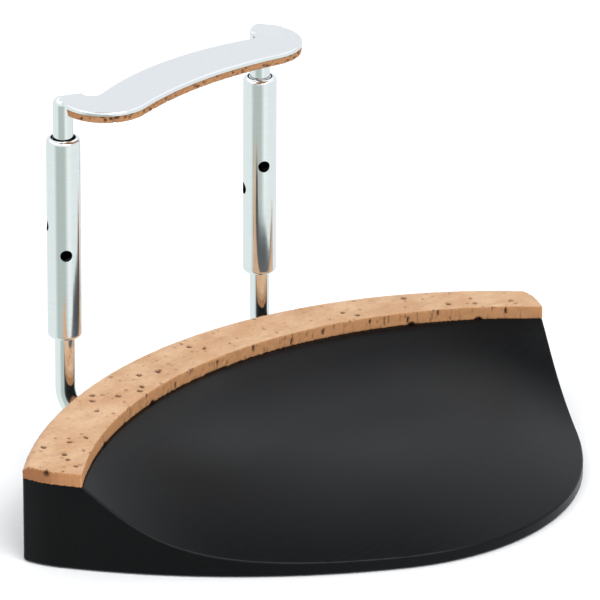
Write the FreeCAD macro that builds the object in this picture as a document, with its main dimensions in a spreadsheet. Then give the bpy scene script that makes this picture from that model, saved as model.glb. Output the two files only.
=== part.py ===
"""Side-mounted violin chin rest with a two-barrel clamp, standing on the rim of its cup.

The frame, in millimetres: +Z is up, +X runs along the line of the two clamp barrels, +Y points away
from the free edge of the plate, and the origin is under the middle of the whole object.
The plate lies with its cup down, so the clamp stands up and its foot is the highest piece.
"""
import FreeCAD, Part
import math
import os
import Sketcher
from FreeCAD import Placement, Rotation, Vector

doc = FreeCAD.newDocument("chin_rest")
sheet = doc.addObject("Spreadsheet::Sheet", "sizes")

SIZES = {
    # the wooden plate, seen from above: arcs that follow each other, each tangent to the last
    "corner_x": -51.7,
    "corner_y": 13.75,
    "corner_heading": -81.7,
    "left_end_radius": 15.7,
    "left_end_turn": 22.3,
    "left_flank_radius": 110.0,
    "left_flank_turn": 28.2,
    "nose_radius": 37.4,
    "nose_turn": 87.3,
    "right_flank_radius": 267.0,
    "right_flank_turn": 5.0,
    "right_end_radius": 9.5,
    "right_end_turn": 34.9,
    "rear_radius": 74.8,
    "corner_round": 0.8,
    "rest_edge_round": 0.5,
    "free_edge_round": 0.35,
    # the raised seat along its rear edge, which carries the cork
    "seat_height": 14.0,
    "seat_edge_radius": 70.1,
    "seat_edge_x": -2.3,
    "seat_edge_y": -48.65,
    "cork_thickness": 2.2,
    "cork_bevel": 0.9,
    # the underside, which falls from the seat to the thin free edge and swells over the cup
    "free_edge_thickness": 2.0,
    "fall_length": 10.9,
    "fall_power": 1.2,
    "belly_rise": 6.0,
    "belly_rim_width": 28.0,
    "belly_seat_width": 22.0,
    # the cup for the chin
    "cup_depth": 5.0,
    "cup_land": 0.5,
    "cup_slope_width": 22.0,
    "cup_start_below_rim": 0.3,
    # the fan of rays on which the scooped face is laid out
    "scoop_inner_radius": 10.0,
    "scoop_past_the_seat": 1.5,
    "scoop_first_ray": 26.0,
    "scoop_last_ray": 146.0,
    # the clamp line and its two L-shaped legs
    "clamp_x": -2.7,
    "clamp_y": 32.75,
    "clamp_half_width": 21.65,
    "rod_diameter": 3.2,
    "thread_diameter": 3.5,
    "thread_groove": 0.3,
    "thread_pitch": 0.75,
    "wood_thread_pitch": 1.5,
    "wood_thread_length": 7.5,
    "leg_bend": 4.8,
    "leg_stub_height": 10.0,
    "leg_top": 34.0,
    "leg_thread_length": 9.0,
    "socket_depth": 9.5,
    # the threaded barrels, turned with a pin through their cross holes
    "barrel_diameter": 5.4,
    "barrel_length": 33.5,
    "barrel_bore": 3.6,
    "barrel_mouth": 4.0,
    "barrel_mouth_depth": 2.4,
    "barrel_end_round": 0.65,
    "key_hole": 1.9,
    "key_hole_spacing": 4.4,
    "left_barrel_bottom": 23.5,
    "left_barrel_turn": 53.7,
    "right_barrel_bottom": 21.5,
    "right_barrel_turn": -30.0,
    # the foot that grips the back of the violin, and the two arms brazed to it
    "foot_top": 63.7,
    "foot_thickness": 0.6,
    "foot_edge": 0.3,
    "foot_rear": -0.3,
    "foot_rear_radius": 50.0,
    "foot_front": -9.3,
    "lobe_y": -4.3,
    "lobe_radius": 7.15,
    "neck_fillet": 1.6,
    "foot_cork_thickness": 1.2,
    "foot_cork_inset": 0.15,
    "arm_top_round": 1.2,
    "arm_turn": 18.3,
    "arm_bottom": 46.4,
    "arm_thread_length": 8.6,
    # the flattened end of an arm: a neck that widens to the lobe, then a tongue let into the lobe
    "neck_start_half_width": 0.8,
    "shoulder_start": 1.2,
    "shoulder_half_width": 2.1,
    "neck_end": 2.0,
    "neck_half_width": 2.75,
    "tongue_end": 5.6,
    "tongue_half_width": 1.7,
}
for row, (alias, value) in enumerate(SIZES.items(), start=1):
    sheet.set(f"A{row}", alias)
    sheet.set(f"B{row}", str(value))
    sheet.setAlias(f"B{row}", alias)
doc.recompute()


# how far two places may differ and still count as the same
TOLERANCE = 0.01


def size(alias):
    return float(sheet.get(alias))


def heading(degrees):
    return Vector(math.cos(math.radians(degrees)), math.sin(math.radians(degrees)), 0)


# ---- helpers for bodies and sketches ----


def new_body(name):
    body = doc.addObject("PartDesign::Body", name)
    body.Label = name
    return body


def new_sketch(body, name, role, offset=None):
    sketch = body.newObject("Sketcher::SketchObject", name)
    plane = next(f for f in body.Origin.OriginFeatures if f.Role == role)
    sketch.AttachmentSupport = [(plane, "")]
    sketch.MapMode = "FlatFace"
    if offset is not None:
        sketch.AttachmentOffset = Placement(offset, Rotation())
    return sketch


def new_feature(body, kind, name, sketch, **bound):
    feature = body.newObject("PartDesign::" + kind, name)
    feature.Profile = sketch
    for prop, expression in bound.items():
        feature.setExpression(prop, expression)
    return feature


def bind(sketch, constraint, expression):
    """Add a constraint whose value is read from the sheet."""
    index = sketch.addConstraint(constraint)
    sketch.setExpression(f"Constraints[{index}]", expression)


def add_circle(sketch, diameter, x=0.0, y=0.0):
    circle = sketch.addGeometry(Part.Circle(Vector(x, y, 0), Vector(0, 0, 1), size(diameter) / 2))
    bind(sketch, Sketcher.Constraint("Diameter", circle, size(diameter)), f"sizes.{diameter}")
    return circle


def arc_between(centre, radius, start, end):
    """The arc that runs anticlockwise from start to end."""
    circle = Part.Circle(centre, Vector(0, 0, 1), radius)
    first = math.atan2(start.y - centre.y, start.x - centre.x)
    last = math.atan2(end.y - centre.y, end.x - centre.x)
    if last < first:
        last += 2 * math.pi
    return Part.ArcOfCircle(circle, first, last)


def add_polygon(sketch, corners):
    """A closed outline of straight lines through the corners."""
    count = len(corners)
    lines = []
    for here, there in zip(corners, corners[1:] + corners[:1]):
        lines.append(sketch.addGeometry(Part.LineSegment(here, there)))
    for i in range(count):
        sketch.addConstraint(Sketcher.Constraint("Coincident", lines[i], 2, lines[(i + 1) % count], 1))
    return lines


def add_fillet(body, name, base, edges, radius):
    fillet = body.newObject("PartDesign::Fillet", name)
    fillet.Base = (base, edges)
    fillet.setExpression("Radius", radius)
    return fillet


def level_edges(shape, height):
    """The names of the edges that lie at one height."""
    names = []
    for index, edge in enumerate(shape.Edges, start=1):
        box = edge.BoundBox
        if abs(box.ZMin - height) < TOLERANCE and abs(box.ZMax - height) < TOLERANCE:
            names.append(f"Edge{index}")
    return names


# ---- the outline of the plate ----

OUTLINE_RUNS = ["left_end", "left_flank", "nose", "right_flank", "right_end"]


def plate_arcs():
    """The five tangent arcs from the left corner round the nose to the right corner, and the rear arc."""
    arcs = []
    point = Vector(size("corner_x"), size("corner_y"), 0)
    first_corner = point
    angle = size("corner_heading")
    for run in OUTLINE_RUNS:
        radius = size(run + "_radius")
        centre = point + heading(angle + 90) * radius
        angle += size(run + "_turn")
        end = centre + heading(angle - 90) * radius
        arcs.append((arc_between(centre, radius, point, end), run + "_radius"))
        point = end
    chord = first_corner - point
    middle = (first_corner + point) / 2
    inward = Vector(-chord.y, chord.x, 0).normalize()
    centre = middle + inward * math.sqrt(size("rear_radius") ** 2 - (chord.Length / 2) ** 2)
    arcs.append((arc_between(centre, size("rear_radius"), point, first_corner), "rear_radius"))
    return arcs, centre


PLATE_ARCS, REAR_CENTRE = plate_arcs()


def draw_plate_outline(sketch):
    """Draw the plate's outline, with its radii and its first corner bound to the sheet."""
    ids = [sketch.addGeometry(arc) for arc, radius in PLATE_ARCS]
    for here, there in zip(ids[:4], ids[1:5]):
        sketch.addConstraint(Sketcher.Constraint("Tangent", here, 2, there, 1))
    sketch.addConstraint(Sketcher.Constraint("Coincident", ids[4], 2, ids[5], 1))
    sketch.addConstraint(Sketcher.Constraint("Coincident", ids[5], 2, ids[0], 1))
    for index, (arc, radius) in zip(ids, PLATE_ARCS):
        bind(sketch, Sketcher.Constraint("Radius", index, size(radius)), f"sizes.{radius}")
    bind(sketch, Sketcher.Constraint("DistanceX", -1, 1, ids[0], 1, size("corner_x")), "sizes.corner_x")
    bind(sketch, Sketcher.Constraint("DistanceY", -1, 1, ids[0], 1, size("corner_y")), "sizes.corner_y")


# ---- the curved faces of the plate, each a height over the plan ----

OUTLINE_EDGES = [arc.toShape() for arc, radius in PLATE_ARCS]
WHOLE_OUTLINE = Part.Wire(OUTLINE_EDGES)
FREE_EDGE = Part.Wire(OUTLINE_EDGES[:5])
OUTLINE_FACE = Part.Face(WHOLE_OUTLINE)
SEAT_CENTRE = Vector(size("seat_edge_x"), size("seat_edge_y"), 0)


def distance_inside(wire, point):
    """How far the point lies inside the line of the wire, less than zero outside the plate."""
    reach = wire.distToShape(Part.Vertex(point))[0]
    on_the_line = 1e-6
    return reach if OUTLINE_FACE.isInside(point, on_the_line, True) else -reach


def underside_height(point):
    """The height of the scooped face: a steep fall from the seat, then a low belly over the cup."""
    from_seat = size("seat_edge_radius") - point.distanceToPoint(SEAT_CENTRE)
    drop = size("seat_height") - size("free_edge_thickness")
    shape = (abs(from_seat) / size("fall_length")) ** size("fall_power")
    if from_seat < 0:
        return size("seat_height") + drop * shape
    fall = size("free_edge_thickness") + drop * math.exp(-shape)
    from_rim = min(distance_inside(FREE_EDGE, point) / size("belly_rim_width"), 1)
    from_seat = min(from_seat / size("belly_seat_width"), 1)
    belly = size("belly_rise") * (1 - (1 - from_rim) ** 2) * (1 - (1 - from_seat) ** 2)
    return fall + belly


def cup_height(point):
    """The height of the cup's face: level at the rim, then a smooth hollow."""
    below_rim = -size("cup_start_below_rim")
    way = (distance_inside(WHOLE_OUTLINE, point) - size("cup_land")) / size("cup_slope_width")
    way = min(max(way, 0), 1)
    return below_rim + (size("cup_depth") - below_rim) * way * way * (3 - 2 * way)


def curved_face(points, height):
    """A smooth face through rows of plan points, each lifted to its height."""
    grid = [[Vector(p.x, p.y, height(p)) for p in line] for line in points]
    surface = Part.BSplineSurface()
    surface.interpolate(grid)
    return surface.toShape()


def spread(first, last, count):
    return [first + (last - first) * i / (count - 1) for i in range(count)]


def new_void(name, face, reach):
    """A solid on one side of a curved face, which is cut out of the plate."""
    void = doc.addObject("Part::Feature", name)
    void.Shape = face.extrude(Vector(0, 0, reach))
    return void


def make_underside_void():
    """Everything above the scooped face. Its grid is a fan of rays from the centre of the seat's edge."""
    steps_out, steps_round = 24, 31
    outer_radius = size("seat_edge_radius") + size("scoop_past_the_seat")
    radii = spread(size("scoop_inner_radius"), outer_radius, steps_out)
    fan = spread(size("scoop_first_ray"), size("scoop_last_ray"), steps_round)
    points = [[SEAT_CENTRE + heading(angle) * radius for radius in radii] for angle in fan]
    past_the_top = 2 * size("seat_height")
    return new_void("underside_void", curved_face(points, underside_height), past_the_top)


def make_cup_void():
    """Everything below the cup's face."""
    column_count, row_count = 33, 23
    margin = 1
    box = WHOLE_OUTLINE.BoundBox
    columns = spread(box.XMin - margin, box.XMax + margin, column_count)
    rows = spread(box.YMin - margin, box.YMax + margin, row_count)
    points = [[Vector(x, y, 0) for y in rows] for x in columns]
    past_the_bottom = -2 * size("cup_depth")
    return new_void("cup_void", curved_face(points, cup_height), past_the_bottom)


# ---- where the legs stand ----


def leg_place(side):
    """The foot of a leg's upright rod, and the direction of its stub, square to the rear wall."""
    base = Vector(size("clamp_x") + side * size("clamp_half_width"), size("clamp_y"), 0)
    inward = (REAR_CENTRE - base).normalize()
    return base, math.degrees(math.atan2(inward.y, inward.x))


def stub_reach(side):
    """How far a leg's stub runs from the upright's axis: to the bottom of its socket."""
    base, angle = leg_place(side)
    return base.distanceToPoint(REAR_CENTRE) - size("rear_radius") + size("socket_depth")


SIDES = {"left": -1, "right": 1}


# ---- chin plate ----


def make_chin_plate():
    blank = new_body("plate_blank")
    outline = new_sketch(blank, "plate_outline", "XY_Plane")
    draw_plate_outline(outline)
    pad = new_feature(blank, "Pad", "plate_pad", outline, Length="sizes.seat_height")
    doc.recompute()
    corners = add_fillet(blank, "corner_rounding", pad, corner_edges(pad.Shape), "sizes.corner_round")
    doc.recompute()
    add_fillet(blank, "rest_rounding", corners, level_edges(corners.Shape, 0), "sizes.rest_edge_round")
    tools = [make_underside_void(), make_cup_void()]
    for name, side in SIDES.items():
        base, angle = leg_place(side)
        socket = doc.addObject("Part::Cylinder", name + "_socket")
        socket.setExpression("Radius", "sizes.rod_diameter / 2")
        socket.Height = stub_reach(side)
        middle = base + Vector(0, 0, size("leg_stub_height"))
        socket.Placement = Placement(middle, Rotation(Vector(0, 0, 1), heading(angle)))
        tools.append(socket)
    plate = blank
    for tool in tools:
        cut = doc.addObject("Part::Cut", "plate_less_" + tool.Name)
        cut.Base = plate
        cut.Tool = tool
        plate = cut
    doc.recompute()
    eased = doc.addObject("Part::Fillet", "eased_plate")
    eased.Base = plate
    radius = size("free_edge_round")
    eased.Edges = [(edge, radius, radius) for edge in free_edges(plate.Shape)]
    eased.Label = "chin_plate"
    return eased


def corner_edges(shape):
    """The names of the two upright edges where the rear arc meets the ends of the plate."""
    names = []
    for index, edge in enumerate(shape.Edges, start=1):
        tall = edge.Length > size("seat_height") - TOLERANCE
        if tall and isinstance(edge.Curve, Part.Line) and on_rear_arc(edge.CenterOfMass):
            names.append(f"Edge{index}")
    return names


def free_edges(shape):
    """The numbers of the edges where the scooped face meets the wall of the plate."""
    free_edge_bottom = 0.9 * size("free_edge_thickness")
    below_the_seat = 0.5
    clear_of_the_rear = 1
    numbers = []
    for index, edge in enumerate(shape.Edges, start=1):
        lowest = edge.BoundBox.ZMin
        between = free_edge_bottom < lowest < size("seat_height") - below_the_seat
        middle = edge_middle(edge)
        from_wall = WHOLE_OUTLINE.distToShape(Part.Vertex(Vector(middle.x, middle.y, 0)))[0]
        in_front = middle.distanceToPoint(REAR_CENTRE) < size("rear_radius") - clear_of_the_rear
        if between and from_wall < TOLERANCE and in_front:
            numbers.append(index)
    return numbers


def edge_middle(edge):
    return edge.valueAt((edge.FirstParameter + edge.LastParameter) / 2)


def on_rear_arc(point):
    level = Vector(point.x, point.y, 0)
    return abs(level.distanceToPoint(REAR_CENTRE) - size("rear_radius")) < TOLERANCE


# ---- seat cork ----


def make_seat_cork():
    body = new_body("seat_cork")
    outline = new_sketch(body, "cork_outline", "XY_Plane")
    draw_plate_outline(outline)
    pad = new_feature(body, "Pad", "cork_pad", outline, Length="sizes.cork_thickness")
    inner = new_sketch(body, "cork_inner_edge", "XY_Plane")
    circle = inner.addGeometry(Part.Circle(SEAT_CENTRE, Vector(0, 0, 1), size("seat_edge_radius")))
    radius = Sketcher.Constraint("Radius", circle, size("seat_edge_radius"))
    bind(inner, radius, "sizes.seat_edge_radius")
    pocket = new_feature(body, "Pocket", "cork_scoop", inner)
    pocket.Type = "ThroughAll"
    pocket.Midplane = True
    doc.recompute()
    bevel = body.newObject("PartDesign::Chamfer", "cork_outer_bevel")
    bevel.Base = (pocket, [rear_top_edge(pocket.Shape)])
    bevel.setExpression("Size", "sizes.cork_bevel")
    body.Placement = Placement(Vector(0, 0, size("seat_height")), Rotation())
    return body


def rear_top_edge(shape):
    """The name of the long arc along the back of the cork's top."""
    for index, edge in enumerate(shape.Edges, start=1):
        level = abs(edge.BoundBox.ZMin - size("cork_thickness")) < TOLERANCE
        if level and on_rear_arc(edge_middle(edge)):
            return f"Edge{index}"
    raise ValueError("the cork has no rear top edge")


# ---- rods with threads ----


def add_upright_thread(body, name, top, length):
    """A threaded end on the local Z axis: a thicker rod with grooves at every turn of the thread."""
    start = new_sketch(body, name + "_start", "XY_Plane", Vector(0, 0, top - length))
    add_circle(start, "thread_diameter")
    rod = body.newObject("PartDesign::Pad", name + "_rod")
    rod.Profile = start
    rod.Length = length
    pitch = size("thread_pitch")
    groove = new_sketch(body, name + "_groove", "XZ_Plane")
    add_polygon(groove, groove_corners("thread_diameter", pitch, Vector(0, top - length + pitch, 0)))
    cut_turns(body, name, groove, "V_Axis", pitch, int(length / pitch) - 1)


def add_wood_thread(body, name, end):
    """Grooves round the end of a leg's stub, where it screws into the wood."""
    pitch = size("wood_thread_pitch")
    turns = int(size("wood_thread_length") / pitch)
    groove = new_sketch(body, name + "_groove", "XY_Plane", Vector(0, 0, size("leg_stub_height")))
    corners = groove_corners("rod_diameter", pitch, Vector(0, end - pitch * turns, 0))
    add_polygon(groove, [Vector(corner.y, corner.x, 0) for corner in corners])
    cut_turns(body, name, groove, "H_Axis", pitch, turns)


def groove_corners(diameter, pitch, place):
    """A V-shaped notch in a rod whose axis is the sketch's second axis."""
    past_surface = 0.1
    width_of_pitch = 0.84
    outer = size(diameter) / 2
    half = pitch * width_of_pitch / 2
    return [
        place + Vector(outer - size("thread_groove"), 0, 0),
        place + Vector(outer + past_surface, half, 0),
        place + Vector(outer + past_surface, -half, 0),
    ]


def cut_turns(body, name, groove, axis, pitch, turns):
    before = body.newObject("PartDesign::Groove", name + "_turn")
    before.Profile = groove
    before.ReferenceAxis = (groove, [axis])
    pattern = body.newObject("PartDesign::LinearPattern", name + "_turns")
    pattern.Originals = [before]
    pattern.Direction = (groove, [axis])
    pattern.Length = pitch * (turns - 1)
    pattern.Occurrences = turns
    body.Tip = pattern


def add_bent_rod(body, name, points, bend):
    """A round rod along a path in the local XZ plane: down the Z axis, round one bend, out along X."""
    start, corner, end = points
    path = new_sketch(body, name + "_path", "XZ_Plane")
    centre = Vector(bend, corner.y + bend, 0)
    arc_start = Vector(0, centre.y, 0)
    arc_end = Vector(bend, corner.y, 0)
    path.addGeometry(Part.LineSegment(start, arc_start))
    path.addGeometry(arc_between(centre, bend, arc_start, arc_end))
    path.addGeometry(Part.LineSegment(arc_end, end))
    section = new_sketch(body, name + "_section", "XY_Plane", Vector(0, 0, start.y))
    add_circle(section, "rod_diameter")
    pipe = new_feature(body, "AdditivePipe", name + "_pipe", section)
    pipe.Spine = (path, ["Edge1", "Edge2", "Edge3"])
    return pipe


# ---- legs ----


def make_leg(name, side):
    body = new_body(name + "_leg")
    base, angle = leg_place(side)
    thread_start = size("leg_top") - size("leg_thread_length")
    corner = Vector(0, size("leg_stub_height"), 0)
    end = Vector(stub_reach(side), size("leg_stub_height"), 0)
    add_bent_rod(body, name + "_leg", (Vector(0, thread_start, 0), corner, end), size("leg_bend"))
    add_upright_thread(body, name + "_leg_thread", size("leg_top"), size("leg_thread_length"))
    add_wood_thread(body, name + "_leg_wood_thread", end.x)
    body.Placement = Placement(base, Rotation(Vector(0, 0, 1), angle))
    return body


# ---- barrels ----


def make_barrel(name, side):
    body = new_body(name + "_barrel")
    profile = new_sketch(body, name + "_barrel_profile", "XZ_Plane")
    outer = size("barrel_diameter") / 2
    bore = size("barrel_bore") / 2
    mouth = size("barrel_mouth") / 2
    length = size("barrel_length")
    depth = size("barrel_mouth_depth")
    corners = [
        Vector(mouth, 0, 0),
        Vector(outer, 0, 0),
        Vector(outer, length, 0),
        Vector(mouth, length, 0),
        Vector(mouth, length - depth, 0),
        Vector(bore, length - depth - (mouth - bore), 0),
        Vector(bore, depth + mouth - bore, 0),
        Vector(mouth, depth, 0),
    ]
    add_polygon(profile, corners)
    tube = new_feature(body, "Revolution", name + "_barrel_tube", profile)
    tube.ReferenceAxis = (profile, ["V_Axis"])
    doc.recompute()
    rims = outer_rims(tube.Shape, length)
    rounded = add_fillet(body, name + "_barrel_rounding", tube, rims, "sizes.barrel_end_round")
    doc.recompute()
    solid_tube = rounded.Shape.Volume
    for hole, role, way in (("lower", "YZ_Plane", -1), ("upper", "XZ_Plane", 1)):
        height = length / 2 + way * size("key_hole_spacing") / 2
        sketch = new_sketch(body, f"{name}_barrel_{hole}_key", role)
        add_circle(sketch, "key_hole", 0, height)
        pocket = new_feature(body, "Pocket", f"{name}_barrel_{hole}_key_hole", sketch)
        pocket.Type = "ThroughAll"
        pocket.Midplane = True
    doc.recompute()
    least_cut = 1
    if body.Shape.Volume > solid_tube - least_cut:
        raise ValueError("the key holes cut nothing")
    base = leg_place(side)[0] + Vector(0, 0, size(name + "_barrel_bottom"))
    body.Placement = Placement(base, Rotation(Vector(0, 0, 1), size(name + "_barrel_turn")))
    return body


def outer_rims(shape, length):
    """The names of the edges round the outside of a barrel's two ends."""
    rims = []
    for end in (0, length):
        for name in level_edges(shape, end):
            if shape.getElement(name).BoundBox.XMax > size("barrel_mouth") / 2 + TOLERANCE:
                rims.append(name)
    return rims


# ---- foot ----


def arm_axes(side):
    """An arm's rod in plan, and the directions along and across the flattened end of the arm."""
    along = heading(arm_direction(side))
    return Vector(side * size("clamp_half_width"), 0, 0), along, Vector(-along.y, along.x, 0)


def arm_direction(side):
    """The plan angle of an arm's flattened end: inward, turned towards the middle of the foot."""
    return -90 - side * size("arm_turn")


def circles_meet(first, first_radius, second, second_radius, side):
    """The crossing of two circles right (side 1) or left (side -1) of the line of their centres."""
    between = second - first
    reach = between.Length
    along = (first_radius**2 - second_radius**2 + reach**2) / (2 * reach)
    out = math.sqrt(first_radius**2 - along**2)
    return first + between.normalize() * along + Vector(between.y, -between.x, 0).normalize() * out * side


def line_meets_circle(start, way, centre, radius):
    """The crossing furthest along a line of unit direction with a circle."""
    middle = (centre - start).dot(way)
    nearest = start + way * middle
    return nearest + way * math.sqrt(radius**2 - nearest.distanceToPoint(centre) ** 2)


def foot_end(side, inset):
    """The points and centres of one end of the foot: its lobe, the cut across its neck, its fillet."""
    rod, along, across = arm_axes(side)
    neck = rod + along * size("neck_end")
    outward = across * side
    corner = neck + outward * size("neck_half_width")
    rise = corner.y - size("lobe_y")
    lobe_x = abs(corner.x) - math.sqrt(size("lobe_radius") ** 2 - rise**2)
    lobe_centre = Vector(side * lobe_x, size("lobe_y"), 0)
    rear_centre = Vector(0, size("foot_rear") - size("foot_rear_radius"), 0)
    inner = neck - outward * size("neck_half_width")
    fillet = size("neck_fillet")
    fillet_centre = circles_meet(rear_centre, size("foot_rear_radius") + fillet, inner, fillet, -side)
    cut = neck + along * inset
    return {
        "lobe_centre": lobe_centre,
        "fillet_centre": fillet_centre,
        "outer": line_meets_circle(cut, outward, lobe_centre, size("lobe_radius") - inset),
        "inner": line_meets_circle(cut, outward, fillet_centre, fillet + inset),
        "on_rear": fillet_centre + (rear_centre - fillet_centre).normalize() * (fillet + inset),
    }


def foot_outline(inset):
    """The foot's outline round its middle: a bowed strip with a round lobe and a cut neck at each end."""
    right, left = foot_end(1, inset), foot_end(-1, inset)
    lobe = size("lobe_radius") - inset
    fillet = size("neck_fillet") + inset
    rear_centre = Vector(0, size("foot_rear") - size("foot_rear_radius"), 0)
    lobe_x = right["lobe_centre"].x
    lobe_rise = size("lobe_y") - size("foot_front")
    sagitta = size("lobe_radius") - lobe_rise
    front_radius = (lobe_x**2 + lobe_rise**2 - size("lobe_radius") ** 2) / (2 * sagitta)
    front_centre = Vector(0, size("foot_front") - front_radius, 0)
    for end in (right, left):
        end["low"] = end["lobe_centre"] + (front_centre - end["lobe_centre"]).normalize() * lobe
    return [
        arc_between(front_centre, front_radius + inset, right["low"], left["low"]),
        arc_between(right["lobe_centre"], lobe, right["low"], right["outer"]),
        Part.LineSegment(right["outer"], right["inner"]),
        arc_between(right["fillet_centre"], fillet, right["on_rear"], right["inner"]),
        arc_between(rear_centre, size("foot_rear_radius") - inset, right["on_rear"], left["on_rear"]),
        arc_between(left["fillet_centre"], fillet, left["inner"], left["on_rear"]),
        Part.LineSegment(left["inner"], left["outer"]),
        arc_between(left["lobe_centre"], lobe, left["outer"], left["low"]),
    ]


# how the ends of the foot's eight lines meet: (line, end) with (line, end)
FOOT_JOINS = [
    (0, 1, 1, 1),
    (1, 2, 2, 1),
    (2, 2, 3, 2),
    (3, 1, 4, 1),
    (4, 2, 5, 2),
    (5, 1, 6, 1),
    (6, 2, 7, 1),
    (7, 2, 0, 2),
]


def draw_foot_outline(sketch, inset=0.0):
    ids = [sketch.addGeometry(line) for line in foot_outline(inset)]
    for first, first_end, second, second_end in FOOT_JOINS:
        join = Sketcher.Constraint("Coincident", ids[first], first_end, ids[second], second_end)
        sketch.addConstraint(join)


def foot_place(height):
    return Placement(Vector(size("clamp_x"), size("clamp_y"), height), Rotation())


def arm_end_corners():
    """The outline of an arm's flattened end, with +X along the arm and the rod's axis at the origin."""
    half = [
        Vector(0, size("neck_start_half_width"), 0),
        Vector(size("shoulder_start"), size("shoulder_half_width"), 0),
        Vector(size("neck_end"), size("neck_half_width"), 0),
        Vector(size("neck_end"), size("tongue_half_width"), 0),
        Vector(size("tongue_end"), size("tongue_half_width"), 0),
    ]
    return half + [Vector(corner.x, -corner.y, 0) for corner in reversed(half)]


def make_foot_plate():
    body = new_body("foot_plate")
    outline = new_sketch(body, "foot_outline", "XY_Plane")
    draw_foot_outline(outline)
    pad = new_feature(body, "Pad", "foot_pad", outline, Length="sizes.foot_thickness")
    doc.recompute()
    top_edges = level_edges(pad.Shape, size("foot_thickness"))
    curved = [name for name in top_edges if not isinstance(pad.Shape.getElement(name).Curve, Part.Line)]
    add_fillet(body, "foot_rounding", pad, curved, "sizes.foot_edge")
    slots = new_sketch(body, "tongue_slots", "XY_Plane")
    for side in SIDES.values():
        rod, along, across = arm_axes(side)
        wide = across * size("tongue_half_width")
        near = rod + along * size("shoulder_start")
        far = rod + along * size("tongue_end")
        add_polygon(slots, [near - wide, far - wide, far + wide, near + wide])
    pocket = new_feature(body, "Pocket", "tongue_slot_pocket", slots)
    pocket.Type = "ThroughAll"
    pocket.Midplane = True
    body.Placement = foot_place(size("foot_top") - size("foot_thickness"))
    return body


def make_foot_cork():
    body = new_body("foot_cork")
    outline = new_sketch(body, "foot_cork_outline", "XY_Plane")
    draw_foot_outline(outline, size("foot_cork_inset"))
    new_feature(body, "Pad", "foot_cork_pad", outline, Length="sizes.foot_cork_thickness")
    above = size("foot_thickness") + size("foot_cork_thickness")
    body.Placement = foot_place(size("foot_top") - above)
    return body


# ---- arms ----


def make_arm(name, side):
    """A rod that comes out of the barrel, turns sharply inward and is flattened into the foot's lobe."""
    body = new_body(name + "_arm")
    thread_top = size("arm_bottom") + size("arm_thread_length")
    start = new_sketch(body, name + "_arm_start", "XY_Plane", Vector(0, 0, thread_top))
    add_circle(start, "rod_diameter")
    rod = new_feature(body, "Pad", name + "_arm_rod", start)
    rod.Length = size("foot_top") - thread_top
    doc.recompute()
    top_edges = level_edges(rod.Shape, size("foot_top"))
    add_fillet(body, name + "_arm_rounding", rod, top_edges, "sizes.arm_top_round")
    add_upright_thread(body, name + "_arm_thread", thread_top, size("arm_thread_length"))
    underneath = Vector(0, 0, size("foot_top") - size("foot_thickness"))
    flat = new_sketch(body, name + "_flat_end", "XY_Plane", underneath)
    add_polygon(flat, arm_end_corners())
    new_feature(body, "Pad", name + "_flat_end_pad", flat, Length="sizes.foot_thickness")
    base = leg_place(side)[0]
    body.Placement = Placement(base, Rotation(Vector(0, 0, 1), arm_direction(side)))
    return body


# ---- build, check, write ----

pieces = [make_chin_plate(), make_seat_cork(), make_foot_plate(), make_foot_cork()]
for side_name, side_sign in SIDES.items():
    pieces.append(make_leg(side_name, side_sign))
    pieces.append(make_barrel(side_name, side_sign))
    pieces.append(make_arm(side_name, side_sign))
doc.recompute()

for item in doc.Objects:
    if "Invalid" in item.State or "Error" in item.State:
        raise ValueError(f"{item.Name} did not compute: {item.State}")
os.makedirs("parts", exist_ok=True)
for piece in pieces:
    shape = piece.Shape
    if shape.isNull() or not shape.isValid() or len(shape.Solids) != 1:
        raise ValueError(f"{piece.Label} is not one valid solid")
    shape.exportStep(os.path.join("parts", piece.Label + ".step"))
    print(piece.Label, round(shape.Volume, 1), "mm3")
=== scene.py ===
"""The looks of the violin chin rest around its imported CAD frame, in metres."""

import math
import random
from collections import namedtuple

import bmesh
import bpy
import numpy as np
from mathutils import Matrix, Vector


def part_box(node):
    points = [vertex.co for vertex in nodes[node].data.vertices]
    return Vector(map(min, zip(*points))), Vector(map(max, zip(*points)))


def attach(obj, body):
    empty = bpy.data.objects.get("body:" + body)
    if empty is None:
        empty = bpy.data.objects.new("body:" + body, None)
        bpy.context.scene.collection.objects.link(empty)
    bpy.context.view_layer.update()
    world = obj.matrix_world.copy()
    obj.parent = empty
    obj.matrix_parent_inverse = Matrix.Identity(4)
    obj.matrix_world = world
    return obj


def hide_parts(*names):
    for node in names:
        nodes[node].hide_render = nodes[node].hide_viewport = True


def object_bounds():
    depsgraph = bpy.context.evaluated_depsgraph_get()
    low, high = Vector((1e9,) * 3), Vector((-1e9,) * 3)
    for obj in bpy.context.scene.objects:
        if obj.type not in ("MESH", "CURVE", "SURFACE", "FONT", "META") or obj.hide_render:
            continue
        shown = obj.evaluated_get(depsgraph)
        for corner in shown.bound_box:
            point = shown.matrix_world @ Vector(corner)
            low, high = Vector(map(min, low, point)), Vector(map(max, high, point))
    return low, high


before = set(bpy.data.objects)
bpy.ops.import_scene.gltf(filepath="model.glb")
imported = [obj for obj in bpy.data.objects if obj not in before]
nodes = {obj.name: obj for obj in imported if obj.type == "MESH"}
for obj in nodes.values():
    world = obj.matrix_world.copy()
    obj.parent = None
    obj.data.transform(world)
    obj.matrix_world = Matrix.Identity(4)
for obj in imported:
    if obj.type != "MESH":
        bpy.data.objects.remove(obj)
cad_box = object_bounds()

MM = 0.001

# the seat's free edge is an arc of this circle, seen from above
SEAT_CENTRE = Vector((-2.3 * MM, -48.65 * MM))
SEAT_RADIUS = 70.1 * MM

# A barrel's key holes, which are under its skin and near its middle, and its bore are painted near black
# as painted shade.
# Each change is soft, from the first number to the second.
BARREL_SKIN_RADII = (2.42 * MM, 2.64 * MM)
KEY_HOLE_HEIGHTS = (5.0 * MM, 6.0 * MM)
BARREL_BORE_RADII = (1.90 * MM, 1.96 * MM)

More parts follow.
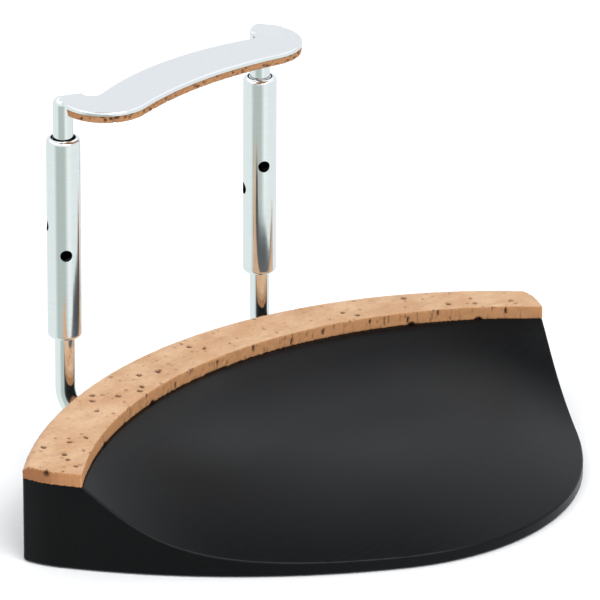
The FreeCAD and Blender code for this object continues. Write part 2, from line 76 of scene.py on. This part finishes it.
# how finely polishing marks vary along X, Y and Z: along a drawn rod, and round a turned barrel
DRAWN_GRAIN = (2600, 2600, 260)
TURNED_GRAIN = (260, 260, 2600)

# colours, as linear red, green, blue and a full alpha
EBONY_DARK = (0.0016, 0.0018, 0.0021, 1)
EBONY_LIGHT = (0.0042, 0.0045, 0.0051, 1)
EBONY_CLOUD = (0.0055, 0.0055, 0.0058, 1)
EBONY_PORE = (0.0008, 0.0008, 0.0008, 1)
ROD_PLATING = (0.87, 0.89, 0.89, 1)
FOOT_PLATING = (0.87, 0.88, 0.89, 1)
HOLE_SHADE = (0.02, 0.019, 0.018, 1)
# cork in light, warm and dark
SEAT_CORK = ((0.625, 0.405, 0.245, 1), (0.53, 0.305, 0.165, 1), (0.10, 0.042, 0.02, 1))
FOOT_CORK = ((0.55, 0.32, 0.17, 1), (0.42, 0.22, 0.105, 1), (0.06, 0.026, 0.012, 1))
FLOOR_WHITE = ((0.93, 0.93, 0.93, 1), (0.95, 0.95, 0.95, 1))


# ---- node trees ----


class NodeTree:
    """A tree of shader nodes that is built up by a few short calls."""

    def __init__(self, tree):
        self.tree = tree
        self.tree.nodes.clear()

    def add(self, kind, settings=None, sockets=None):
        """A node, with its settings, and its sockets set to values or joined to other sockets."""
        node = self.tree.nodes.new(kind)
        for key, value in (settings or {}).items():
            setattr(node, key, value)
        for key, value in (sockets or {}).items():
            if isinstance(value, bpy.types.NodeSocket):
                self.tree.links.new(value, node.inputs[key])
            else:
                node.inputs[key].default_value = value
        return node

    def maths(self, operation, *values):
        return self.add("ShaderNodeMath", {"operation": operation}, dict(enumerate(values))).outputs[0]

    def scaled(self, value, start, stop, to_start=0.0, to_stop=1.0):
        """value, moved from the range start to stop to another one and held inside it."""
        sockets = {
            "Value": value,
            "From Min": start,
            "From Max": stop,
            "To Min": to_start,
            "To Max": to_stop,
        }
        return self.add("ShaderNodeMapRange", {"clamp": True}, sockets).outputs[0]

    def mix(self, amount, first, second):
        """first where amount is 0, second where it is 1."""
        node = self.add("ShaderNodeMix", {"data_type": "RGBA"}, {0: amount, 6: first, 7: second})
        return node.outputs[2]

    def ramp(self, value, low, high, stops):
        """Colours along a value that runs from low to high, blended between the stops."""
        node = self.add("ShaderNodeValToRGB", None, {0: self.scaled(value, low, high)})
        band = node.color_ramp
        while len(band.elements) < len(stops):
            band.elements.new(0.5)
        for element, (at, colour) in zip(band.elements, stops):
            element.position = (at - low) / (high - low)
            element.color = (*colour, 1)
        return node.outputs[0]


class Surface(NodeTree):
    """The node tree of one new material. Lengths are the object's own metres."""

    def __init__(self, name):
        self.material = bpy.data.materials.new(name)
        self.material.use_nodes = True
        super().__init__(self.material.node_tree)
        self.place = self.add("ShaderNodeTexCoord").outputs["Object"]

    def noise(self, scale, detail=3.0, roughness=0.55, place=None):
        sockets = {"Vector": place or self.place, "Scale": scale, "Detail": detail, "Roughness": roughness}
        return self.add("ShaderNodeTexNoise", None, sockets).outputs["Fac"]

    def streaks(self, scales, detail, roughness):
        """Noise that varies at its own rate along each of X, Y and Z."""
        place = self.add("ShaderNodeMapping", None, {"Vector": self.place, "Scale": scales}).outputs[0]
        return self.noise(1.0, detail, roughness, place)

    def cells(self, scale):
        sockets = {"Vector": self.place, "Scale": scale}
        return self.add("ShaderNodeTexVoronoi", None, sockets).outputs["Distance"]

    def attribute(self, name):
        return self.add("ShaderNodeAttribute", {"attribute_name": name}).outputs["Fac"]

    def inside_barrel(self, middle):
        """1 in the key holes half way up an upright barrel and in its bore, 0 on its outside."""
        shift = self.add("ShaderNodeVectorMath", {"operation": "SUBTRACT"}, {0: self.place, 1: middle})
        x, y, z = self.add("ShaderNodeSeparateXYZ", None, {0: shift.outputs[0]}).outputs
        flat = self.add("ShaderNodeCombineXYZ", None, {0: x, 1: y}).outputs[0]
        length = self.add("ShaderNodeVectorMath", {"operation": "LENGTH"}, {0: flat})
        radius = length.outputs["Value"]
        in_wall = self.scaled(radius, *BARREL_SKIN_RADII, 1.0, 0.0)
        half_way = self.scaled(self.maths("ABSOLUTE", z), *KEY_HOLE_HEIGHTS, 1.0, 0.0)
        in_bore = self.scaled(radius, *BARREL_BORE_RADII, 1.0, 0.0)
        return self.maths("MAXIMUM", self.maths("MULTIPLY", in_wall, half_way), in_bore)

    def bump(self, height, strength, distance, below=None):
        """A relief, on top of the one below it if there is one."""
        sockets = {"Height": height, "Strength": strength, "Distance": distance}
        if below:
            sockets["Normal"] = below
        return self.add("ShaderNodeBump", None, sockets).outputs[0]

    def finish(self, sockets):
        shader = self.add("ShaderNodeBsdfPrincipled", None, sockets)
        self.add("ShaderNodeOutputMaterial", None, {"Surface": shader.outputs[0]})
        return self.material


def dimmed(colour, *factors):
    """A colour times one factor, or with a factor each for its red, green and blue."""
    if len(factors) == 1:
        factors = factors * 3
    return [c * f for c, f in zip(colour, factors)] + [1]


# ---- materials ----


def ebony():
    """Polished black wood: fine grain along X, short open pores and a satin surface."""
    s = Surface("ebony_satin")
    grain = s.streaks((90, 1500, 1500), detail=4.0, roughness=0.6)
    clouds = s.noise(45.0, detail=2.0)
    pores = s.scaled(s.streaks((420, 3800, 3800), detail=2.0, roughness=0.5), 0.66, 0.74)
    tone = s.mix(grain, EBONY_DARK, EBONY_LIGHT)
    tone = s.mix(s.scaled(clouds, 0.4, 0.7, 0.0, 0.5), tone, EBONY_CLOUD)
    tone = s.mix(pores, tone, EBONY_PORE)
    rough = s.scaled(grain, 0.25, 0.8, 0.26, 0.34)
    relief = s.bump(grain, strength=0.10, distance=0.03 * MM)
    relief = s.bump(pores, strength=0.25, distance=-0.02 * MM, below=relief)
    return s.finish({"Base Color": tone, "Roughness": rough, "IOR": 1.23, "Normal": relief})


def plated(name, tint, shine, grain, middle=None):
    """Bright nickel-chrome plating, with faint polishing marks and a slight ripple.

    A barrel gives its middle: its key holes and its bore are painted near black, as painted shade.
    """
    s = Surface(name)
    marks = s.streaks(grain, detail=3.0, roughness=0.6)
    ripple = s.noise(320.0, detail=1.0, roughness=0.4)
    tone = s.mix(s.scaled(marks, 0.3, 0.7), tint, dimmed(tint, 0.965))
    # painted shade: a barrel's key holes and bore are painted near black
    if middle:
        tone = s.mix(s.inside_barrel(middle), tone, HOLE_SHADE)
    rough = s.scaled(marks, 0.3, 0.75, shine, shine + 0.045)
    relief = s.bump(ripple, strength=0.12, distance=0.02 * MM)
    relief = s.bump(marks, strength=0.05, distance=0.004 * MM, below=relief)
    return s.finish({"Base Color": tone, "Metallic": 1.0, "Roughness": rough, "Normal": relief})


def cork(name, light, warm, dark):
    """Natural cork: soft mottling, fine grains, small specks, and pores painted dark, partly their own
    tone and partly painted shade.

    The attributes side, end and pit say where a face is a side, the left end or in a pore. The sides and
    the pores are darker partly in their own tone and partly as painted shade; the left end is darker as
    painted shade.
    """
    s = Surface(name)
    mottle = s.noise(170.0, detail=4.0, roughness=0.6)
    bands = s.streaks((240, 620, 900), detail=3.0, roughness=0.6)
    grains = s.cells(1500.0)
    fine = s.noise(2600.0, detail=2.0, roughness=0.6)
    tone = s.mix(s.scaled(mottle, 0.36, 0.66), light, warm)
    tone = s.mix(s.scaled(bands, 0.48, 0.72, 0.0, 0.45), tone, dimmed(warm, 0.80))
    tone = s.mix(s.scaled(grains, 0.0, 0.45, 0.16, 0.0), tone, dark)
    specks = s.noise(1050.0, detail=1.0, roughness=0.4)
    tone = s.mix(s.scaled(specks, 0.72, 0.78, 0.0, 0.4), tone, dark)
    # the sides are painted a deeper orange, partly their own tone and partly painted shade, with fine
    # upright tears
    tears = s.streaks((2400, 2400, 260), detail=2.0, roughness=0.5)
    side_tone_and_shade = s.mix(s.scaled(tears, 0.58, 0.72, 0.0, 0.5), dimmed(warm, 0.90, 0.77, 0.62), dark)
    tone = s.mix(s.attribute("side"), tone, side_tone_and_shade)
    # the left end is painted darker still, as painted shade
    tone = s.mix(s.attribute("end"), tone, dimmed(warm, 0.55, 0.39, 0.28))
    # the pores are painted dark, partly their own tone and partly painted shade
    tone = s.mix(s.attribute("pit"), tone, dark)
    lumps = s.noise(900.0, detail=3.0, roughness=0.6)
    relief = s.bump(lumps, strength=0.35, distance=0.12 * MM)
    relief = s.bump(grains, strength=0.2, distance=0.05 * MM, below=relief)
    relief = s.bump(fine, strength=0.2, distance=0.03 * MM, below=relief)
    rough = s.scaled(mottle, 0.3, 0.7, 0.78, 0.92)
    return s.finish({"Base Color": tone, "Roughness": rough, "IOR": 1.4, "Normal": relief})


def floor_paint():
    s = Surface("floor_white")
    tone = s.mix(s.noise(3.0), *FLOOR_WHITE)
    return s.finish({"Base Color": tone, "Roughness": 0.9})


def paint(piece, material):
    piece.data.materials.clear()
    piece.data.materials.append(material)


# ---- cork pieces ----


def linked(name, data):
    """A new object in the scene."""
    piece = bpy.data.objects.new(name, data)
    bpy.context.scene.collection.objects.link(piece)
    return piece


def refined(node, name, voxel):
    """A new piece with the node's shape in small even faces."""
    work = bmesh.new()
    work.from_mesh(nodes[node].data)
    bmesh.ops.remove_doubles(work, verts=work.verts, dist=0.001 * MM)
    rough_mesh = bpy.data.meshes.new(name + "_rough")
    work.to_mesh(rough_mesh)
    work.free()
    rough_piece = linked(name + "_rough", rough_mesh)
    remesh = rough_piece.modifiers.new("even", "REMESH")
    remesh.mode = "VOXEL"
    remesh.voxel_size = voxel
    remesh.use_smooth_shade = True
    shown = rough_piece.evaluated_get(bpy.context.evaluated_depsgraph_get())
    mesh = bpy.data.meshes.new_from_object(shown)
    bpy.data.objects.remove(rough_piece)
    mesh.name = name
    return linked(name, mesh)


def points_and_normals(mesh):
    points = np.zeros(len(mesh.vertices) * 3)
    normals = np.zeros(len(mesh.vertices) * 3)
    mesh.vertices.foreach_get("co", points)
    mesh.vertices.foreach_get("normal", normals)
    return points.reshape(-1, 3), normals.reshape(-1, 3)


def move_points(mesh, points, box):
    """New places for a mesh's points, held inside the CAD node's box so as never to outgrow the frame."""
    low, high = (np.array(corner) for corner in box)
    mesh.vertices.foreach_set("co", np.clip(points, low, high).ravel())


def write_attribute(mesh, name, values):
    layer = mesh.attributes.new(name, "FLOAT", "POINT")
    layer.data.foreach_set("value", np.asarray(values, np.float32))


def share(values, none, full):
    """0 at none and beyond it, 1 at full and beyond it, and even in between."""
    return np.clip((values - none) / (full - none), 0, 1)


def is_near(points, x, y, reach):
    """Whether one of the points is within reach of a place, seen from above."""
    return np.min((points[:, 0] - x) ** 2 + (points[:, 1] - y) ** 2) < reach**2


def wobble(points, size):
    """A smooth repeatable waviness between -1 and 1, for edges that are torn and not cut clean.

    It is sines inside sines, at rates that aren't multiples of each other, so that no pattern shows.
    """
    x, y, z = (points[:, k] / size for k in range(3))
    broad = np.sin(x * 1.7 + 2.1 * np.sin(y * 1.3 + z)) + np.sin(y * 2.3 + 1.7 * np.sin(x * 0.9 - z * 1.4))
    narrow = np.sin(x * 4.1 + z * 3.3 + 1.1) * np.sin(y * 3.7 - z * 2.9)
    return (broad + narrow) / 3


# a pore: its centre, its axes, its half sizes along them, how deep it is and how dark from 0 to 1, partly
# the pore's own tone and partly painted shade
Pit = namedtuple("Pit", "centre axes half_sizes depth darkness", defaults=(1.0,))

LEVEL_AXES = ((1, 0, 0), (0, 1, 0), (0, 0, 1))

# the upward part of a face's normal, where a top starts to be a side and where it wholly is one
SIDE_SLOPES = (0.75, 0.40)
# its part along X, where a side starts to be the left end, which is painted darker as painted shade, and
# where it wholly is
END_SLOPES = (-0.80, -0.92)


def sink(points, normals, pits):
    """The points with the pores pressed in, and how dark each point is painted: partly the pores' own tone
    and partly painted shade.
    """
    ragged = 0.22
    slope_start = 0.55
    dark_reach = (1.08, 0.78)
    moved = points.copy()
    shade = np.zeros(len(points))
    for pit in pits:
        local = (points - np.array(pit.centre)) @ np.array(pit.axes).T / np.array(pit.half_sizes)
        # 0 in the middle of the pore and 1 at its rim, which is a little ragged
        reach = np.sqrt((local**2).sum(1)) + ragged * wobble(points + pit.centre[0], 0.16 * MM)
        inside = share(reach, 1.0, slope_start)
        eased = inside * inside * (3 - 2 * inside)
        moved -= normals * (eased * pit.depth)[:, None]
        shade = np.maximum(shade, pit.darkness * share(reach, *dark_reach))
    return moved, shade


def level_pair(angle):
    """Two level directions at right angles: +X turned by an angle in degrees, and the next one round."""
    turn = math.radians(angle)
    return (math.cos(turn), math.sin(turn), 0), (-math.sin(turn), math.cos(turn), 0)


def level_pit(x, y, top, width, length, angle, depth, darkness=1.0):
    """A pore in a level face, turned by an angle in degrees."""
    first, second = level_pair(angle)
    return Pit((x, y, top), (first, second, (0, 0, 1)), (width, length, 0.6 * MM), depth, darkness)


def side_pit(angle, height, half_width, half_height, depth, darkness=1.0):
    """A tear in the cork's inner side, at an angle in degrees round the seat circle."""
    out, along = level_pair(angle)
    place = (SEAT_CENTRE.x + out[0] * SEAT_RADIUS, SEAT_CENTRE.y + out[1] * SEAT_RADIUS, height)
    return Pit(place, (along, out, (0, 0, 1)), (half_width, 0.5 * MM, half_height), depth, darkness)


def seat_top_pits(rng, points, low, high):
    """The open pores in the seat's top: a few large ones and many small ones."""
    pits = []
    # the large ones lie in loose groups along the strip: first and last angle, how many
    for first, last, count in ((45, 72, 6), (88, 91, 2), (97, 113, 8), (119, 129, 6)):
        for step in range(count):
            around = math.radians(first + (last - first) * (step + rng.uniform(0.1, 0.9)) / count)
            reach = SEAT_RADIUS + rng.uniform(1.3, 8.3) * MM
            x = SEAT_CENTRE.x + reach * math.cos(around)
            y = SEAT_CENTRE.y + reach * math.sin(around)
            width = rng.uniform(0.33, 0.48) * MM
            length = rng.uniform(0.40, 0.62) * MM
            turn = rng.uniform(-25, 25)
            pits.append(level_pit(x, y, high.z, width, length, turn, depth=0.42 * MM))

    pores_in_all = 120
    on_top = points[points[:, 2] > high.z - 0.05 * MM]
    while len(pits) < pores_in_all:
        x = rng.uniform(low.x, high.x)
        y = rng.uniform(low.y, high.y)
        size = rng.uniform(0.13, 0.30) * (1.35 if rng.random() < 0.16 else 1.0)
        stretch = rng.uniform(0.8, 1.6)
        turn = rng.uniform(-35, 35)
        if is_near(on_top, x, y, 0.3 * MM):
            depth = rng.uniform(0.08, 0.24) * MM
            darkness = rng.uniform(0.25, 0.8)
            pits.append(level_pit(x, y, high.z, size * MM, size * stretch * MM, turn, depth, darkness))
    return pits


def seat_side_pits(rng, bottom):
    """Along the seat's inner side: deep tears, chips out of its lower edge, and many fine tears."""
    pits = []
    deep_tears = 14
    first, last = 46, 131
    for step in range(deep_tears):
        angle = first + (last - first) * (step + rng.uniform(0.1, 0.9)) / deep_tears
        height = bottom + rng.uniform(0.6, 1.8) * MM
        half_width = rng.uniform(0.16, 0.26) * MM
        half_height = rng.uniform(0.45, 0.85) * MM
        pits.append(side_pit(angle, height, half_width, half_height, depth=0.34 * MM))
    # the chips, by their angles in degrees round the seat circle
    for angle in (51, 60, 103, 117):
        height = bottom + 0.1 * MM
        half_width = rng.uniform(0.5, 0.9) * MM
        pits.append(side_pit(angle, height, half_width, half_height=0.32 * MM, depth=0.42 * MM))
    fine_tears = 48
    for _ in range(fine_tears):
        angle = rng.triangular(46, 130, 90)
        height = bottom + rng.uniform(0.2, 2.1) * MM
        half_width = rng.uniform(0.09, 0.16) * MM
        half_height = rng.uniform(0.25, 0.7) * MM
        darkness = rng.uniform(0.25, 0.75)
        pits.append(side_pit(angle, height, half_width, half_height, 0.12 * MM, darkness))
    return pits


def left_end_pit(top):
    """A deep pore in the seat's left end."""
    centre = (-50.3 * MM, 9.9 * MM, top - 0.5 * MM)
    return Pit(centre, LEVEL_AXES, half_sizes=(0.6 * MM,) * 3, depth=0.5 * MM)


def make_seat_cork():
    """The seat's cork strip, with open pores in its top and tears and chips along its inner side."""
    piece = refined("seat_cork", "seat_cork_strip", voxel=0.2 * MM)
    mesh = piece.data
    points, normals = points_and_normals(mesh)
    low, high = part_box("seat_cork")
    rng = random.Random(7)
    pits = seat_top_pits(rng, points, low, high)
    pits += seat_side_pits(rng, low.z)
    pits.append(left_end_pit(high.z))
    moved, shade = sink(points, normals, pits)

    # the sides and the inner edge of the top are uneven, and the rest of the top less so
    sides = share(normals[:, 2], *SIDE_SLOPES)
    from_edge = np.hypot(points[:, 0] - SEAT_CENTRE.x, points[:, 1] - SEAT_CENTRE.y) - SEAT_RADIUS
    near_top = share(np.abs(points[:, 2] - high.z), 0.5 * MM, 0)
    lip = near_top * share(from_edge, 1.2 * MM, 0)
    unevenness = wobble(points, 0.55 * MM) * 0.04 * MM * (0.4 + sides + lip)
    moved += normals * unevenness[:, None]
    move_points(mesh, moved, (low, high))

    # how dark the pores are painted, partly painted shade
    write_attribute(mesh, "pit", shade)
    # the sides' share of the deeper orange, which is partly painted shade
    write_attribute(mesh, "side", sides)
    # the left end's share of its painted shade
    write_attribute(mesh, "end", sides * share(normals[:, 0], *END_SLOPES))
    mesh.update()
    paint(piece, cork("cork_tan", *SEAT_CORK))
    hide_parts("seat_cork")
    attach(piece, "plate")


def foot_side_pits(rng, points, normals, low, high):
    """Pores in the sides of the foot's cork."""
    pits = []
    pores = 170
    edge = points[np.abs(normals[:, 2]) < 0.3]
    while len(pits) < pores:
        x = rng.uniform(low.x, high.x)
        y = rng.uniform(low.y, high.y)
        height = rng.uniform(low.z, high.z)
        size = rng.uniform(0.14, 0.42) * MM
        if is_near(edge, x, y, 0.25 * MM):
            half_sizes = (size, size, size * 0.8)
            darkness = rng.uniform(0.4, 1)
            pits.append(Pit((x, y, height), LEVEL_AXES, half_sizes, 0.28 * MM, darkness))
    return pits


def make_foot_cork():
    """The cork layer under the foot, cut and torn unevenly along its sides."""
    piece = refined("foot_cork", "foot_cork_layer", voxel=0.13 * MM)
    mesh = piece.data
    points, normals = points_and_normals(mesh)
    low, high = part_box("foot_cork")
    pits = foot_side_pits(random.Random(11), points, normals, low, high)
    moved, shade = sink(points, normals, pits)

    sides = share(np.abs(normals[:, 2]), *SIDE_SLOPES)
    unevenness = wobble(points, 0.35 * MM) * 0.14 * MM * sides
    moved += normals * unevenness[:, None]
    move_points(mesh, moved, (low, high))

    # how dark the pores are painted, partly painted shade, a little lighter on the foot
    write_attribute(mesh, "pit", shade * 0.85)
    write_attribute(mesh, "end", np.zeros(len(points)))
    # the foot's sides take some of the deeper orange, which is partly painted shade
    write_attribute(mesh, "side", sides * 0.7)
    mesh.update()
    paint(piece, cork("cork_brown", *FOOT_CORK))
    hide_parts("foot_cork")
    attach(piece, "foot")


# ---- stage ----


def direction(azimuth, elevation):
    """The direction so many degrees round from +X and so many above the floor."""
    around, above = math.radians(azimuth), math.radians(elevation)
    flat = math.cos(above)
    return Vector((math.cos(around) * flat, math.sin(around) * flat, math.sin(above)))


def make_floor():
    """A large plain pale floor. Mirror-like surfaces see the studio instead of it."""
    work = bmesh.new()
    bmesh.ops.create_circle(work, cap_ends=True, segments=96, radius=6.0)
    mesh = bpy.data.meshes.new("floor")
    work.to_mesh(mesh)
    work.free()
    floor = linked("floor", mesh)
    # just under the rim that the object stands on
    floor.location.z = -0.05 * MM
    floor.visible_glossy = False
    paint(floor, floor_paint())


def make_light(name, towards, distance, size, radiance, aim):
    """A square soft light, in a direction from the point that it faces."""
    lamp = bpy.data.lights.new(name, "AREA")
    lamp.shape = "SQUARE"
    lamp.size = size
    lamp.energy = radiance * math.pi * size * size
    light = linked(name, lamp)
    light.location = aim + towards * distance
    light.rotation_euler = towards.to_track_quat("Z", "Y").to_euler()


# The studio's colours are kept under 1 in its ramps, and this is what they are all multiplied by.
STUDIO_STRENGTH = 1.4


def studio(red, green, blue):
    return red / STUDIO_STRENGTH, green / STUDIO_STRENGTH, blue / STUDIO_STRENGTH


SIDE_WALL = studio(0.84, 0.92, 0.91)
REAR_WALL = studio(0.86, 0.90, 0.93)
GREY_ROOM = studio(0.50, 0.575, 0.55)
BRIGHT_WALL = studio(0.95, 1.0, 1.0)
HORIZON = studio(0.88, 0.91, 0.95)

# under the horizon: degrees round from +X, and the colour there
LOW_STOPS = (
    (0, REAR_WALL),
    (120, SIDE_WALL),
    (162, SIDE_WALL),
    (182, GREY_ROOM),
    (232, GREY_ROOM),
    (258, BRIGHT_WALL),
    (290, SIDE_WALL),
    (360, REAR_WALL),
)
# over the horizon: the direction's height, which is 1 straight up, and the colour there
HIGH_STOPS = (
    (-1.0, HORIZON),
    (0.42, HORIZON),
    (0.60, studio(1.12, 1.14, 1.17)),
    (0.80, studio(1.10, 1.12, 1.15)),
    (0.87, studio(0.90, 0.91, 0.93)),
    (0.93, studio(0.46, 0.47, 0.48)),
    (1.0, studio(0.20, 0.21, 0.22)),
)


def make_world():
    """A white studio: bright round the horizon, dim overhead, and a grey room beyond the table's front."""
    world = bpy.data.worlds.new("studio")
    bpy.context.scene.world = world
    world.use_nodes = True
    w = NodeTree(world.node_tree)
    towards = w.add("ShaderNodeTexCoord").outputs["Generated"]
    x, y, height = w.add("ShaderNodeSeparateXYZ", None, {0: towards}).outputs
    turn = w.maths("FLOORED_MODULO", w.maths("DEGREES", w.maths("ARCTAN2", y, x)), 360.0)
    below = w.ramp(turn, 0.0, 360.0, LOW_STOPS)
    over = w.ramp(height, -1.0, 1.0, HIGH_STOPS)
    is_low = w.scaled(height, -0.02, 0.02, 1.0, 0.0)
    colour = w.mix(is_low, over, below)
    shader = w.add("ShaderNodeBackground", None, {"Color": colour, "Strength": STUDIO_STRENGTH})
    w.add("ShaderNodeOutputWorld", None, {"Surface": shader.outputs[0]})


def make_camera():
    """The photograph's viewpoint: a long lens from the front left, above the object."""
    azimuth, elevation, roll = 224.34, 23.5, math.radians(0.275)
    distance = 1.2
    aim = Vector((50.2 * MM, 54.15 * MM, 0))
    data = bpy.data.cameras.new("camera")
    data.lens = 432.0
    data.sensor_width = 36.0
    data.clip_start = 0.05
    data.clip_end = 50.0
    camera = linked("camera", data)
    back = direction(azimuth, elevation)
    level = direction(azimuth + 90, 0)
    right = level * math.cos(roll) + back.cross(level) * math.sin(roll)
    turn = Matrix((right, back.cross(right), back)).transposed()
    camera.matrix_world = Matrix.Translation(aim + back * distance) @ turn.to_4x4()
    bpy.context.scene.camera = camera


# ---- the whole ----

paint(nodes["chin_plate"], ebony())
rod_plating = plated("plated_rod", ROD_PLATING, shine=0.06, grain=DRAWN_GRAIN)
for name in ("left_leg", "right_leg", "left_arm", "right_arm"):
    paint(nodes[name], rod_plating)
for name in ("left_barrel", "right_barrel"):
    low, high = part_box(name)
    skin = plated("plated_" + name, ROD_PLATING, shine=0.09, grain=TURNED_GRAIN, middle=(low + high) / 2)
    paint(nodes[name], skin)
paint(nodes["foot_plate"], plated("plated_foot_sheet", FOOT_PLATING, shine=0.04, grain=DRAWN_GRAIN))

make_seat_cork()
make_foot_cork()

make_floor()
make_world()
make_camera()
middle = (cad_box[0] + cad_box[1]) / 2
make_light("key_softbox", direction(-100, 52), distance=1.6, size=1.2, radiance=3.2, aim=middle)
make_light("left_softbox", direction(160, 55), distance=1.6, size=0.9, radiance=1.2, aim=middle)
bpy.context.scene.view_settings.view_transform = "Standard"
